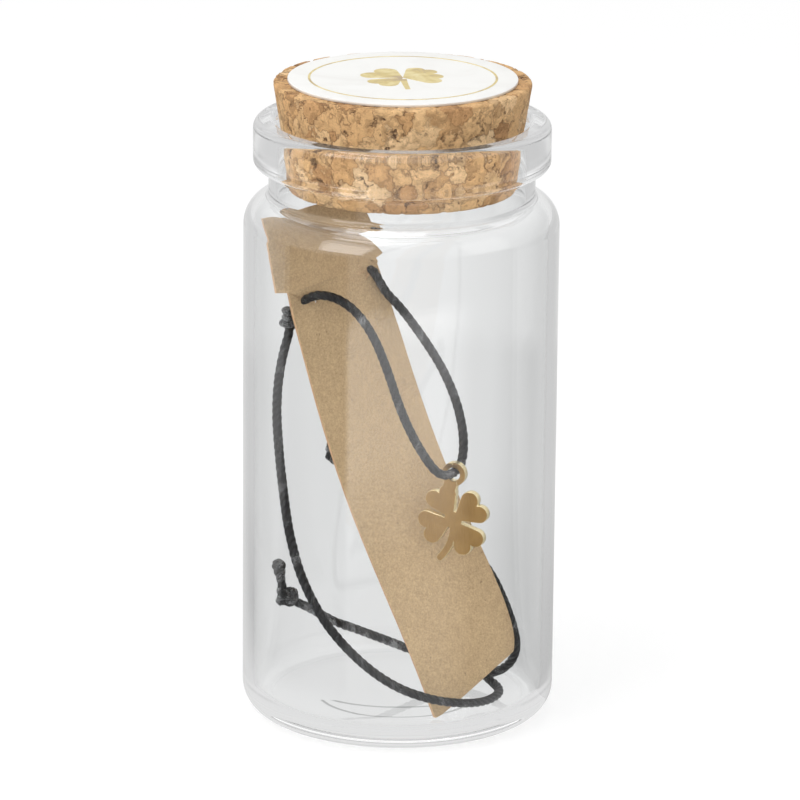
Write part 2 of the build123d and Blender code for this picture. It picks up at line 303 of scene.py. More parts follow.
def makeWoundFinish():
    # Black waxed cord: streaks along the lay, pale flecks of wax, and a painted highlight along each
    # strand's ridge with painted shade in the valleys between strands
    gloss = {"Specular IOR Level": 0.35, "Coat Weight": 0.1, "Coat Roughness": 0.3}
    material, tree, shader = newFinish("waxedCordFinish", Roughness=0.42, **gloss)
    lay = addNode(tree, "ShaderNodeAttribute", attribute_name="cordPlace").outputs["Vector"]
    stretched = addNode(tree, "ShaderNodeMapping", {"Vector": lay, "Scale": (1, 1, 0.16)}).outputs[0]
    streaks = noiseOver(tree, stretched, 7000, 4, roughness=0.65)
    patches = noiseOver(tree, lay, 420, 3)
    grains = noiseOver(tree, lay, 7500, 3, roughness=0.8)
    blacks = [(0.3, (0.003, 0.003, 0.004)), (0.55, (0.009, 0.009, 0.010)), (0.8, (0.036, 0.036, 0.035))]
    black = rampColour(tree, streaks, blacks)
    turn = addNode(tree, "ShaderNodeSeparateXYZ", {0: lay}).outputs
    angle = maths(tree, "ARCTAN2", turn[1], turn[0])
    # Painted highlight and shade: the colour is paled along each strand's ridge and darkened in the valleys
    # between strands
    ridgeHighlightAndShade = maths(tree, "ABSOLUTE", maths(tree, "COSINE", times(tree, angle, cord["strands"] / 2)))
    ridgeHighlightAndShade = spanned(tree, ridgeHighlightAndShade, 0.25, 1.0, 0.25, 1.4)
    strandHighlightAndShade = addNode(tree, "ShaderNodeCombineColor", {0: ridgeHighlightAndShade, 1: ridgeHighlightAndShade, 2: ridgeHighlightAndShade}).outputs[0]
    black = mixColour(tree, 1.0, black, strandHighlightAndShade, "MULTIPLY")
    waxed = times(tree, patches, grains)
    # The tail and the knots carry the most wax
    tied = spanned(tree, turn[2], *cord["tiedReach"], 1.0, 0.0)
    waxed = plus(tree, waxed, times(tree, tied, cord["tiedWax"]))
    flecks = spanned(tree, waxed, 0.31, 0.37)
    paleness = plus(tree, cord["fleckShare"], times(tree, tied, cord["tiedShare"]))
    colour = mixColour(tree, times(tree, flecks, paleness), black, (0.42, 0.43, 0.44))
    tree.links.new(colour, shader.inputs["Base Color"])
    rough = spanned(tree, patches, 0.3, 0.7, 0.32, 0.6)
    tree.links.new(rough, shader.inputs["Roughness"])
    height = plus(tree, streaks, times(tree, flecks, 0.4))
    addBump(tree, shader, height, 0.5, 0.00006)
    return material


def makeLaidTree(material):
    # Follows a path with a tube of twisted strands, and keeps each point's place on the laid cord
    numbers = ("Radius", "Strands", "Strand Depth", "Lay Pitch", "Ring Step", "Ring Points")
    numbers += ("Tail Spread", "Tail Length", "Tip Round")
    tree, given = newShapeTree("laidCord", "Path", numbers)
    curve = addNode(tree, "GeometryNodeMeshToCurve", {"Mesh": given["Path"]}).outputs[0]
    curve = addNode(
        tree, "GeometryNodeResampleCurve", {"Curve": curve, "Length": given["Ring Step"]}, mode="LENGTH"
    ).outputs[0]
    curve = addNode(tree, "GeometryNodeSetCurveNormal", {"Curve": curve}, mode="MINIMUM_TWIST").outputs[0]
    place = addNode(tree, "GeometryNodeSplineParameter").outputs
    whole = addNode(tree, "GeometryNodeSplineLength").outputs["Length"]
    along = place["Length"]
    turns = maths(tree, "DIVIDE", along, given["Lay Pitch"])
    tilt = times(tree, turns, math.tau)
    curve = addNode(tree, "GeometryNodeSetCurveTilt", {"Curve": curve, "Tilt": tilt}).outputs[0]
    # Each end spreads over the tail's length
    left = maths(tree, "MINIMUM", along, minus(tree, whole, along))
    near = spanned(tree, left, 0.0, given["Tail Length"], 1.0, 0.0, interpolation_type="SMOOTHSTEP")
    spread = plus(tree, 1.0, times(tree, near, given["Tail Spread"]))
    # and its tip closes in a low dome
    tip = spanned(tree, left, 0.0, given["Tip Round"], 1.0, 0.0)
    dome = minus(tree, 1.0, times(tree, maths(tree, "POWER", tip, 2.0), 0.8))
    spread = times(tree, spread, maths(tree, "SQRT", dome))
    curve = stored(tree, curve, "alongCord", along)
    ring = addNode(
        tree,
        "GeometryNodeCurvePrimitiveCircle",
        {"Resolution": given["Ring Points"], "Radius": given["Radius"]},
    ).outputs[0]
    index = addNode(tree, "GeometryNodeInputIndex").outputs[0]
    angle = times(tree, maths(tree, "DIVIDE", index, given["Ring Points"]), math.tau)
    halfStrands = maths(tree, "DIVIDE", given["Strands"], 2.0)
    wave = maths(tree, "ABSOLUTE", maths(tree, "COSINE", times(tree, angle, halfStrands)))
    valley = times(tree, minus(tree, wave, 1.0), given["Strand Depth"])
    position = addNode(tree, "GeometryNodeInputPosition").outputs[0]
    offset = vectorMaths(tree, "SCALE", position, valley)
    ring = addNode(tree, "GeometryNodeSetPosition", {"Geometry": ring, "Offset": offset}).outputs[0]
    ring = stored(tree, ring, "roundCord", position, "FLOAT_VECTOR")
    tube = addNode(
        tree,
        "GeometryNodeCurveToMesh",
        {"Curve": curve, "Profile Curve": ring, "Scale": spread, "Fill Caps": True},
    ).outputs[0]
    kept = []
    for name, kind in (("roundCord", "FLOAT_VECTOR"), ("alongCord", "FLOAT")):
        read = addNode(tree, "GeometryNodeInputNamedAttribute", {"Name": name}, data_type=kind)
        kept.append(read.outputs[0])
    upright = addNode(tree, "ShaderNodeCombineXYZ", {"Z": kept[1]}).outputs[0]
    laid = vectorMaths(tree, "ADD", kept[0], upright)
    tube = stored(tree, tube, "cordPlace", laid, "FLOAT_VECTOR")
    return endShapeTree(tree, "Cord", tube, material)


def runTree(name, mesh, tree, values):
    # A plain mesh made by the tree; each input is set by its socket's identifier
    carrier = addObject(name + "Carrier", mesh)
    modifier = carrier.modifiers.new("shape", "NODES")
    modifier.node_group = tree
    for socket in tree.interface.items_tree:
        if socket.item_type == "SOCKET" and socket.in_out == "INPUT" and socket.name in values:
            modifier[socket.identifier] = values[socket.name]
    made = evaluatedMesh(carrier)
    carrier.modifiers.remove(modifier)
    bpy.data.objects.remove(carrier)
    return made


cordPath = makeCordLine(cord)
cordPoints = [tuple(vertex.co) for vertex in cordPath.vertices]
woundFinish = makeWoundFinish()
laidTree = makeLaidTree(woundFinish)

def laidValues(settings, radius):
    # The tree's inputs for the cord itself or for a knot
    return {
        "Radius": radius,
        "Strands": cord["strands"],
        "Strand Depth": cord["strandDepth"],
        "Ring Step": cord["ringStep"],
        "Tail Length": cord["tailLength"],
        "Lay Pitch": settings["layPitch"],
        "Ring Points": settings["ringPoints"],
        "Tail Spread": settings["tailSpread"],
        "Tip Round": settings["tipRound"],
    }


cordMesh = runTree("waxedCord", cordPath, laidTree, laidValues(cord, cord["diameter"] / 2))
waxedCord = finishPiece("waxedCord", cordMesh, woundFinish, "contents", ["bracelet_cord"])
print("cord made, faces:", len(cordMesh.polygons))

# Knots: turns of the same cord, wound about its line
knots = {
    "tubeRadius": 0.00043,
    "layPitch": 0.003,
    "ringPoints": 20,
    "tailSpread": 0.0,
    "tipRound": 0.0001,
    "slipPlace": 50,
    "slipTurns": 3.1,
    "slipLength": 0.0033,
    "slipRadius": 0.00115,
    "slipWaist": 0.3,
    "leftPlace": 2,
    "leftTube": 0.00056,
    "backPlace": 75,
    "endRadius": 0.00148,
    "endStretch": 0.98,
    "pointsPerTurn": 40,
}


def knotFrame(place):
    # The cord's point and direction at a route point, with two directions across it
    route = [Vector(point) for point in cord["route"]]
    line = [Vector(point) for point in cordPoints]
    here = min(range(len(line)), key=lambda i: (line[i] - route[place]).length)
    run = (line[here + 1] - line[here - 1]).normalized()
    side = run.cross(Vector((0, 1, 0))).normalized()
    return line[here], run, side, run.cross(side)


def pathMesh(points):
    mesh = bpy.data.meshes.new("knotPath")
    mesh.from_pydata(points, [(i, i + 1) for i in range(len(points) - 1)], [])
    return mesh


def makeSlipKnot(settings):
    centre, run, side, rise = knotFrame(settings["slipPlace"])
    reach = settings["slipRadius"] - settings["tubeRadius"]
    steps = int(settings["slipTurns"] * settings["pointsPerTurn"])
    points = []
    for step in range(steps + 1):
        share = step / steps
        angle = share * settings["slipTurns"] * math.tau
        tuck = reach * (1 - 0.35 * max(0.0, abs(share - 0.5) * 2 - 0.85) / 0.15)
        tuck *= 1 - settings["slipWaist"] * (1 - abs(math.sin(math.tau * share)))
        spot = centre + run * ((share - 0.5) * (settings["slipLength"] - 2 * settings["tubeRadius"]))
        points.append(spot + side * math.cos(angle) * tuck + rise * math.sin(angle) * tuck)
    return pathMesh(points)


def makeEndKnot(settings, place, twist):
    # An overhand knot drawn tight: a three-lobed loop about the cord
    centre, run, side, rise = knotFrame(place)
    reach = (settings["endRadius"] - settings["tubeRadius"]) / 3
    turned = side * math.cos(twist) + rise * math.sin(twist)
    depth = run.cross(turned)
    steps = 3 * settings["pointsPerTurn"]
    points = []
    for step in range(steps + 1):
        angle = math.tau * step / steps
        across = math.sin(angle) + 2 * math.sin(2 * angle)
        up = math.cos(angle) - 2 * math.cos(2 * angle)
        over = -1.5 * math.sin(3 * angle)
        points.append(centre + (turned * across + run * up * settings["endStretch"] + depth * over) * reach)
    return pathMesh(points)


for name, node, path in (
    ("slipKnotTurns", "slip_knot", makeSlipKnot(knots)),
    ("leftKnotTurns", "end_knot_left", makeEndKnot(knots, knots["leftPlace"], 0.6)),
    ("backKnotTurns", "end_knot_back", makeEndKnot(knots, knots["backPlace"], 1.4)),
):
    radius = knots["leftTube"] if node == "end_knot_left" else knots["tubeRadius"]
    turns = runTree(name, path, laidTree, laidValues(knots, radius))
    finishPiece(name, turns, woundFinish, "contents", [node])


# Turned shapes are drawn as (radius, height, rounding) corners and spun round the Z axis
def roundedOutline(corners, steps=10):
    outline = []
    for place, (radius, height, rounding) in enumerate(corners):
        here = Vector((radius, height))
        if not rounding:
            outline.append(here)
            continue
        before = Vector(corners[place - 1][:2])
        after = Vector(corners[(place + 1) % len(corners)][:2])
        back = (before - here).normalized()
        ahead = (after - here).normalized()
        half = back.angle(ahead) / 2
        centre = here + (back + ahead).normalized() * rounding / math.sin(half)
        first = here + back * rounding / math.tan(half) - centre
        last = here + ahead * rounding / math.tan(half) - centre
        start = math.atan2(first.y, first.x)
        sweep = (math.atan2(last.y, last.x) - start + math.pi) % math.tau - math.pi
        for step in range(steps + 1):
            angle = start + sweep * step / steps
            outline.append(centre + Vector((math.cos(angle), math.sin(angle))) * rounding)
    return outline


def dividedOutline(outline, longest):
    divided = [outline[0]]
    for before, after in zip(outline, outline[1:]):
        parts = max(1, math.ceil((after - before).length / longest))
        for part in range(1, parts + 1):
            divided.append(before.lerp(after, part / parts))
    return divided


def spunMesh(outline, segments, reshape=None):
    # An outline from axis to axis becomes a closed turned body with one vertex at each pole
    build = bmesh.new()
    rings = []
    for radius, height in outline:
        if radius < 1e-9:
            rings.append([build.verts.new((0, 0, height))])
            continue
        ring = []
        for step in range(segments):
            angle = math.tau * step / segments
            spot = Vector((radius * math.cos(angle), radius * math.sin(angle), height))
            ring.append(build.verts.new(reshape(spot) if reshape else spot))
        rings.append(ring)
    for lower, upper in zip(rings, rings[1:]):
        for step in range(segments):
            after = (step + 1) % segments
            corners = [lower[step % len(lower)], lower[after % len(lower)]]
            corners += [upper[after % len(upper)], upper[step % len(upper)]]
            build.faces.new(dict.fromkeys(corners))
    for face in build.faces:
        face.smooth = True
    return build


# Glass: the vial's wall, neck, rim and pushed-up foot
glass = {
    "wall": 0.0013,
    "floor": 0.002,
    "footRounding": 0.0034,
    "puntDepth": 0.0006,
    "footRing": 0.0022,
    "innerFootRounding": 0.0026,
    "shoulderDrop": 0.010,
    "shoulderWidth": 0.0029,
    "shoulderRounding": 0.0036,
    "shoulderSlope": 20.0,
    "innerNeckRounding": 0.0011,
    "neckWall": 0.00105,
    "neckRounding": 0.0007,
    "rimOverhang": 0.0018,
    "rimHeight": 0.0056,
    "rimRounding": 0.001,
    "rimInnerRounding": 0.0009,
    "catchHeight": 0.65,
    "catchRounding": 0.6,
    "waveLength": 0.011,
    "waveHeight": 0.00003,
    "segments": 256,
}


def puntCorners(settings):
    # The pushed-up underside, from the middle out to the ring that it stands on
    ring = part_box("bottle_glass")[1].x - settings["footRounding"] - settings["footRing"]
    shares = ((0, 1), (0.25, 0.97), (0.5, 0.75), (0.75, 0.43), (1, 0))
    return [(ring * across, settings["puntDepth"] * up) for across, up in shares]


def makeGlass(settings):
    low, high = (Vector(corner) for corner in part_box("bottle_glass"))
    body = (high.x - low.x) / 2
    top = high.z
    inner = body - settings["wall"]
    neck = body - settings["shoulderWidth"]
    bore = neck - settings["neckWall"]
    rim = neck + settings["rimOverhang"]
    slope = math.tan(math.radians(settings["shoulderSlope"]))
    shoulder = top - settings["shoulderDrop"]
    halfTurn = math.radians(90 - settings["shoulderSlope"]) / 2
    innerShoulder = shoulder - settings["wall"] * math.tan(halfTurn)
    ledge = top - settings["rimHeight"]
    corners = [
        *((radius, height, 0) for radius, height in puntCorners(settings)),
        (body, 0, settings["footRounding"]),
        (body, shoulder, settings["shoulderRounding"]),
        (neck, shoulder + (body - neck) * slope, settings["neckRounding"]),
        (neck, ledge, settings["neckRounding"]),
        (rim, ledge, settings["rimRounding"]),
        (rim, top, settings["rimRounding"]),
        (bore, top, settings["rimInnerRounding"]),
        (bore, innerShoulder + (inner - bore) * slope, settings["innerNeckRounding"]),
        (inner, innerShoulder, settings["shoulderRounding"] - settings["wall"]),
        (inner, settings["floor"], settings["innerFootRounding"]),
        (0, settings["floor"], 0),
    ]

    def waver(spot):
        # Drawn glass is never quite true: long shallow waves, only ever inwards
        reach = math.hypot(spot.x, spot.y)
        swell = noise.noise(spot / settings["waveLength"]) * 0.5 + 0.5
        share = 1 - settings["waveHeight"] * swell / reach
        return Vector((spot.x * share, spot.y * share, spot.z))

    outline = dividedOutline(roundedOutline(corners), 0.0015)
    build = spunMesh(outline, settings["segments"], waver)
    clear = {"Base Color": (0.985, 0.99, 0.99, 1), "IOR": 1.5, "Transmission Weight": 1.0}
    material, tree, shader = newFinish("clearGlassFinish", Roughness=0.0, **clear)
    spots = objectPlace(tree)
    smears = noiseOver(tree, spots, 160, 3, distortion=0.6)
    addBump(tree, shader, smears, 0.06, 0.0002)
    return meshPiece("glassVial", build, material, "bottle", ["bottle_glass"])


def wallMiddle(settings):
    # The line midway between the vial's inner and outer faces, from the axis up into the rim
    low, high = (Vector(corner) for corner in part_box("bottle_glass"))
    half = settings["wall"] / 2
    body = (high.x - low.x) / 2 - half
    neck = body + half - settings["shoulderWidth"] - settings["neckWall"] / 2
    rim = neck + settings["rimOverhang"] / 2
    foot = settings["floor"] * settings["catchHeight"]
    turn = math.radians(90 - settings["shoulderSlope"]) / 2
    slope = math.tan(math.radians(settings["shoulderSlope"]))
    shoulder = high.z - settings["shoulderDrop"] - half * math.tan(turn)
    ledge = high.z - settings["rimHeight"]
    return [
        (0, foot, 0),
        (body, foot, settings["footRounding"] - half * settings["catchRounding"]),
        (body, shoulder, settings["shoulderRounding"] - half),
        (neck, shoulder + (body - neck) * slope, settings["neckRounding"]),
        (neck, ledge + half, 0),
        (rim, ledge + 2 * half, 0),
        (rim, high.z - half, 0),
    ]


makeGlass(glass)
print("glass made")

# Cork: pressed granules, with pits and dark seams between them
corkFinish = {
    "granuleScale": 330.0,
    "bitScale": 950.0,
    "distortion": 0.0011,
    "pitDepth": 0.00034,
    "seamDepth": 0.00014,
    "edgeRounding": 0.00035,
    "taper": 0.16,
}


def granuleNodes(tree, place, settings):
    # The same granules serve the relief of the mesh and the colour of its surface
    shaken = {"Vector": place, "Scale": 520, "Detail": 3, "Roughness": 0.6}
    shake = addNode(tree, "ShaderNodeTexNoise", shaken).outputs["Color"]
    shift = vectorMaths(tree, "SUBTRACT", shake, (0.5, 0.5, 0.5))
    warped = vectorMaths(tree, "ADD", place, vectorMaths(tree, "SCALE", shift, settings["distortion"] * 4))
    sockets = {"Vector": warped, "Scale": settings["granuleScale"]}
    seams = addNode(tree, "ShaderNodeTexVoronoi", sockets, feature="DISTANCE_TO_EDGE")
    return warped, seams.outputs["Distance"], noiseOver(tree, warped, 640, 4, roughness=0.62)


def makeCorkTree(material, settings):
    tree, given = newShapeTree("corkRelief", "Body", ("Pit Depth", "Seam Depth"))
    place = addNode(tree, "GeometryNodeInputPosition").outputs[0]
    warped, seam, pits = granuleNodes(tree, place, settings)
    crack = spanned(tree, seam, 0.0, 0.09, 1.0, 0.0)
    hole = spanned(tree, pits, 0.56, 0.72, 0.0, 1.0)
    depth = plus(tree, times(tree, crack, given["Seam Depth"]), times(tree, hole, given["Pit Depth"]))
    normal = addNode(tree, "GeometryNodeInputNormal").outputs[0]
    sunk = vectorMaths(tree, "SCALE", normal, times(tree, depth, -1.0))
    moved = {"Geometry": given["Body"], "Offset": sunk}
    shaped = addNode(tree, "GeometryNodeSetPosition", moved).outputs[0]
    return endShapeTree(tree, "Relief", shaped, material)


def makeCorkMaterial(settings):
    material, tree, shader = newFinish("pressedCorkFinish", Roughness=0.85)
    place = objectPlace(tree)
    warped, seam, pits = granuleNodes(tree, place, settings)
    tones = []
    for scale in (settings["granuleScale"], settings["bitScale"]):
        cells = addNode(tree, "ShaderNodeTexVoronoi", {"Vector": warped, "Scale": scale}).outputs["Color"]
        tones.append(addNode(tree, "ShaderNodeSeparateColor", {"Color": cells}).outputs)
    cellTone, bitTone = tones
    base = rampColour(
        tree,
        cellTone[0],
        [
            (0.0, (0.49, 0.275, 0.122)),
            (0.3, (0.60, 0.365, 0.168)),
            (0.7, (0.68, 0.440, 0.218)),
            (1.0, (0.78, 0.555, 0.32)),
        ],
    )
    speckle = rampColour(
        tree, bitTone[0], [(0.0, (0.62, 0.58, 0.54)), (0.4, (0.92, 0.9, 0.88)), (1.0, (1.08, 1.06, 1.04))]
    )
    colour = mixColour(tree, 0.8, base, speckle, "MULTIPLY")
    # Fine grain runs a different way in each granule
    swung = addNode(
        tree,
        "ShaderNodeVectorRotate",
        {"Vector": warped, "Axis": (0.4, 0.6, 0.7), "Angle": times(tree, cellTone[1], 6.0)},
    ).outputs[0]
    drawn = addNode(tree, "ShaderNodeMapping", {"Vector": swung, "Scale": (1, 0.22, 1)}).outputs[0]
    grain = noiseOver(tree, drawn, 1900, 6, roughness=0.78)
    grainTones = [(0.3, (0.50, 0.40, 0.31)), (0.47, (0.96, 0.95, 0.93)), (0.7, (1.25, 1.25, 1.25))]
    grainTone = rampColour(tree, grain, grainTones)
    colour = mixColour(tree, 0.9, colour, grainTone, "MULTIPLY")
    seamShade = spanned(tree, seam, 0.0, 0.07, 0.9, 0.0)
    seamShade = times(tree, seamShade, cellTone[2])
    colour = mixColour(tree, seamShade, colour, (0.13, 0.062, 0.028))
    # The colour is darker in the pits that the relief sinks
    pitDarkening = spanned(tree, pits, 0.57, 0.68, 0.0, 0.9)
    colour = mixColour(tree, pitDarkening, colour, (0.085, 0.042, 0.022))
    tree.links.new(colour, shader.inputs["Base Color"])
    height = minus(tree, times(tree, grain, 0.5), times(tree, pitDarkening, 0.5))
    addBump(tree, shader, height, 0.7, 0.00015)
    return material


def makeCork(settings):
    low, high = (Vector(corner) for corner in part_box("cork_stopper"))
    topRadius = (high.x - low.x) / 2
    footRadius = topRadius - (high.z - low.z) * settings["taper"]
    corners = [
        (0, low.z, 0),
        (footRadius, low.z, settings["edgeRounding"]),
        (topRadius, high.z, settings["edgeRounding"]),
        (0, high.z, 0),
    ]
    outline = dividedOutline(roundedOutline(corners, 5), 0.00024)
    build = spunMesh(outline, 384)
    bmesh.ops.recalc_face_normals(build, faces=build.faces)
    mesh = meshFrom("corkBody", build)
    material = makeCorkMaterial(settings)
    tree = makeCorkTree(material, settings)
    values = {"Pit Depth": settings["pitDepth"], "Seam Depth": settings["seamDepth"]}
    shaped = runTree("pressedCork", mesh, tree, values)
    return finishPiece("pressedCork", shaped, material, "cork", ["cork_stopper"])


pressedCork = makeCork(corkFinish)
print("cork made, faces:", len(pressedCork.data.polygons))

# Paper disc, with a gold ring and a four-leaf clover printed in foil
disc = {
    "foilThickness": 0.00002,
    "edgeRounding": 0.00006,
    "ringRadius": 0.0109,
    "ringWidth": 0.00028,
    # each leaf's direction, length and half the space between its lobes
    "leaves": [(58, 0.0052, 0.00085), (-5, 0.00465, 0.00105), (143, 0.0049, 0.0013), (228, 0.0046, 0.0009)],
    "leafStep": 0.0000015,
    "lobeShare": 0.6,
    "lobeExtra": 0.0006,
    "stemAngle": 274,
    "stemLength": 0.0058,
    "stemWidth": 0.00078,
}


def makePaperDisc(settings):
    low, high = (Vector(corner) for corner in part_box("cork_top_disc"))
    radius = (high.x - low.x) / 2
    top = high.z - settings["foilThickness"]
    corners = [(0, low.z, 0), (radius, low.z, 0), (radius, top, settings["edgeRounding"]), (0, top, 0)]
    build = spunMesh(dividedOutline(roundedOutline(corners, 4), 0.002), 192)
    material, tree, shader = newFinish("whitePaperFinish", Roughness=0.55)
    place = objectPlace(tree)
    cloud = noiseOver(tree, place, 110, 5, distortion=1.4)
    tooth = noiseOver(tree, place, 6000)
    colour = rampColour(
        tree, cloud, [(0.25, (0.80, 0.79, 0.765)), (0.5, (0.845, 0.842, 0.82)), (0.8, (0.86, 0.858, 0.84))]
    )
    tree.links.new(colour, shader.inputs["Base Color"])
    addBump(tree, shader, tooth, 0.15, 0.00003)
    return meshPiece("paperDisc", build, material, "cork", ["cork_top_disc"])


def makeFoilFinish():
    material, tree, shader = newFinish("goldFoilFinish", Metallic=0.2, Roughness=0.4)
    place = objectPlace(tree)
    wash = noiseOver(tree, place, 430, 4, distortion=0.8)
    golds = [(0.3, (0.50, 0.38, 0.22)), (0.44, (0.66, 0.52, 0.20))]
    golds += [(0.6, (0.78, 0.66, 0.33)), (0.78, (0.87, 0.80, 0.55))]
    colour = rampColour(tree, wash, golds)
    tree.links.new(colour, shader.inputs["Base Color"])
    return material


def heartLeaf(length, lobeSide, lobeRadius, turn, steps=14):
    # One leaf of the clover: from the stalk along each side and round two lobes to the notch
    lobeReach = length - lobeRadius
    half = []
    tangent = math.atan2(lobeSide, lobeReach) + math.asin(lobeRadius / math.hypot(lobeReach, lobeSide))
    notch = math.acos(min(1.0, lobeSide / lobeRadius)) - math.pi / 2
    for step in range(steps + 1):
        angle = tangent + math.pi / 2 + (notch - tangent - math.pi / 2) * step / steps
        half.append((lobeReach + lobeRadius * math.cos(angle), lobeSide + lobeRadius * math.sin(angle)))
    outline = [(0, 0)] + half + [(x, -y) for x, y in reversed(half[:-1])]
    cosine, sine = math.cos(turn), math.sin(turn)
    return [(x * cosine - y * sine, x * sine + y * cosine) for x, y in outline]


def addPrism(build, outline, low, high):
    # A flat outline raised from low to high, as a closed solid
    bottom = [build.verts.new((x, y, low)) for x, y in outline]
    top = [build.verts.new((x, y, high)) for x, y in outline]
    build.faces.new(list(reversed(bottom)))
    build.faces.new(top)
    for index in range(len(outline)):
        after = (index + 1) % len(outline)
        build.faces.new((bottom[index], bottom[after], top[after], top[index]))


def makeFoil(settings, material):
    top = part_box("cork_top_disc")[1][2]
    low = top - settings["foilThickness"]
    inner = settings["ringRadius"] - settings["ringWidth"] / 2
    outer = settings["ringRadius"] + settings["ringWidth"] / 2
    ring = bmesh.new()
    profile = ((inner, low), (outer, low), (outer, top), (inner, top))
    steps = 192
    loops = []
    for step in range(steps):
        angle = math.tau * step / steps
        loops.append([ring.verts.new((r * math.cos(angle), r * math.sin(angle), z)) for r, z in profile])
    for step in range(steps):
        here, after = loops[step], loops[(step + 1) % steps]
        for side in range(4):
            ring.faces.new((here[side], after[side], after[(side + 1) % 4], here[(side + 1) % 4]))
    meshPiece("foilRing", ring, material, "cork", [])
    clover = bmesh.new()
    for place, (angle, length, side) in enumerate(settings["leaves"]):
        # a hair lower each, so that no two faces lie in one plane where leaves overlap
        lobe = settings["lobeShare"] * side + settings["lobeExtra"]
        leaf = heartLeaf(length, side, lobe, math.radians(angle))
        addPrism(clover, leaf, low, top - settings["leafStep"] * (place + 1))
    stem = []
    for side in (1, -1):
        for step in range(9) if side == 1 else reversed(range(9)):
            share = step / 8
            angle = math.radians(settings["stemAngle"] + 2 * share)
            reach = settings["stemLength"] * (0.12 + 0.88 * share)
            width = settings["stemWidth"] * (1 - 0.25 * share) / 2 * side
            cosine, sine = math.cos(angle), math.sin(angle)
            stem.append((reach * cosine - width * sine, reach * sine + width * cosine))
    addPrism(clover, stem, low, top)
    meshPiece("foilClover", clover, material, "cork", [])


makePaperDisc(disc)
makeFoil(disc, makeFoilFinish())
print("disc and foil made")


def mergedCopy(node, apart=2e-6):
    # The CAD node's loose triangles, joined, in a bmesh of their own
    build = bmesh.new()
    build.from_mesh(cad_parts[node].data)
    bmesh.ops.remove_doubles(build, verts=build.verts, dist=apart)
    return build


# Kraft card: brown fibres on its faces, a paler cut edge
card = {
    "edgeTurn": 45.0,
    # pale and dark fibres, and how deep they stand
    "face": ((0.53, 0.38, 0.212), (0.315, 0.215, 0.114), 0.3),
    "cut": ((0.62, 0.40, 0.225), (0.48, 0.29, 0.155), 0.4),
    "lipGap": (0.00009, 0.00016),
    "lipLift": 0.00003,
    "flapTip": (-0.0130, -0.0053, 0.0521),
    "flapReach": 0.0004,
    "flapRise": 0.0003,
    "flapLift": 0.00018,
    "holeReach": 0.00085,
    "holeRadius": 0.0005,
}


def makeKraftFinish(name, light, dark, strength):
    material, tree, shader = newFinish(name, Roughness=0.8)
    place = objectPlace(tree)
    layers = []
    for angle, scale in ((0.3, 2900), (1.4, 2500), (2.5, 3300)):
        turn = {"Vector": place, "Rotation": (0.2, angle, 0.5), "Scale": (1, 1, 0.22)}
        turned = addNode(tree, "ShaderNodeMapping", turn).outputs[0]
        layers.append(noiseOver(tree, turned, scale, 3, distortion=0.8))
    fibres = maths(tree, "MAXIMUM", maths(tree, "MAXIMUM", layers[0], layers[1]), layers[2])
    grain = noiseOver(tree, place, 4300, roughness=0.9)
    mottle = noiseOver(tree, place, 900, 3)
    cloud = noiseOver(tree, place, 160, 4)
    tone = 0.0
    for layer, weight in ((fibres, 0.22), (grain, 0.6), (mottle, 0.1), (cloud, 0.08)):
        tone = plus(tree, tone, times(tree, layer, weight))
    colour = rampColour(tree, tone, [(0.38, dark), (0.64, light)])
    specks = noiseOver(tree, place, 1700)
    spot = spanned(tree, specks, 0.71, 0.77, 0.0, 0.6)
    colour = mixColour(tree, spot, colour, (0.16, 0.10, 0.055))
    tree.links.new(colour, shader.inputs["Base Color"])
    height = plus(tree, times(tree, fibres, 0.5), times(tree, grain, 0.5))
    addBump(tree, shader, height, strength, 0.00005)
    return material


def closeSlits(build, facing, settings):
    # The paper springs back: each slit's lips meet, and its hole closes round the cord
    lips = [vertex.co.copy() for vertex in build.verts]
    narrow, wide = settings["lipGap"]
    for vertex in build.verts:
        for other in lips:
            if narrow < (other - vertex.co).length < wide and other.z > vertex.co.z + narrow / 2:
                vertex.co = other + facing * settings["lipLift"]
                break
    for vertex in build.verts:
        if (vertex.co - Vector(settings["flapTip"])).length < settings["flapReach"]:
            vertex.co += Vector((0, 0, settings["flapRise"])) + facing * settings["flapLift"]
    line = kdtree.KDTree(len(cordPoints))
    for index, point in enumerate(cordPoints):
        line.insert(point, index)
    line.balance()
    for vertex in build.verts:
        near, index, gap = line.find(vertex.co)
        if gap < settings["holeReach"]:
            vertex.co = near + (vertex.co - near).normalized() * settings["holeRadius"]


def makeCard(settings):
    build = mergedCopy("message_card")
    bmesh.ops.recalc_face_normals(build, faces=build.faces)
    # Faces of the strip look along its own normal, and cut edges look across it
    facing = Vector((0, 0, 0))
    for face in build.faces:
        aligned = face.normal if face.normal.y < 0 else -face.normal
        facing += aligned * face.calc_area()
    facing.normalize()
    closeSlits(build, facing, settings)
    build.normal_update()
    limit = math.cos(math.radians(settings["edgeTurn"]))
    for face in build.faces:
        face.material_index = 0 if abs(face.normal.dot(facing)) > limit else 1
        face.smooth = False
    mesh = meshFrom("kraftCard", build)
    mesh.materials.append(makeKraftFinish("kraftFaceFinish", *settings["face"]))
    mesh.materials.append(makeKraftFinish("kraftCutFinish", *settings["cut"]))
    return finishPiece("kraftCard", mesh, None, "contents", ["message_card"])


makeCard(card)
print("card made")

# Charm: stamped plate, brushed on its faces; the faces carry painted shade in a darker gold and the cut
# sides a painted highlight in a paler gold
charm = {
    "edgeRounding": 0.00005,
    # dark and pale gold, roughness, and how deep the brush strokes are
    # The faces' gold is darkened as painted shade and the cut sides' gold paled as painted highlight
    "face": (((0.46, 0.27, 0.095), (0.60, 0.37, 0.145)), 0.36, 0.3),
    "cut": (((0.80, 0.66, 0.36), (0.92, 0.80, 0.52)), 0.28, 0.15),
}


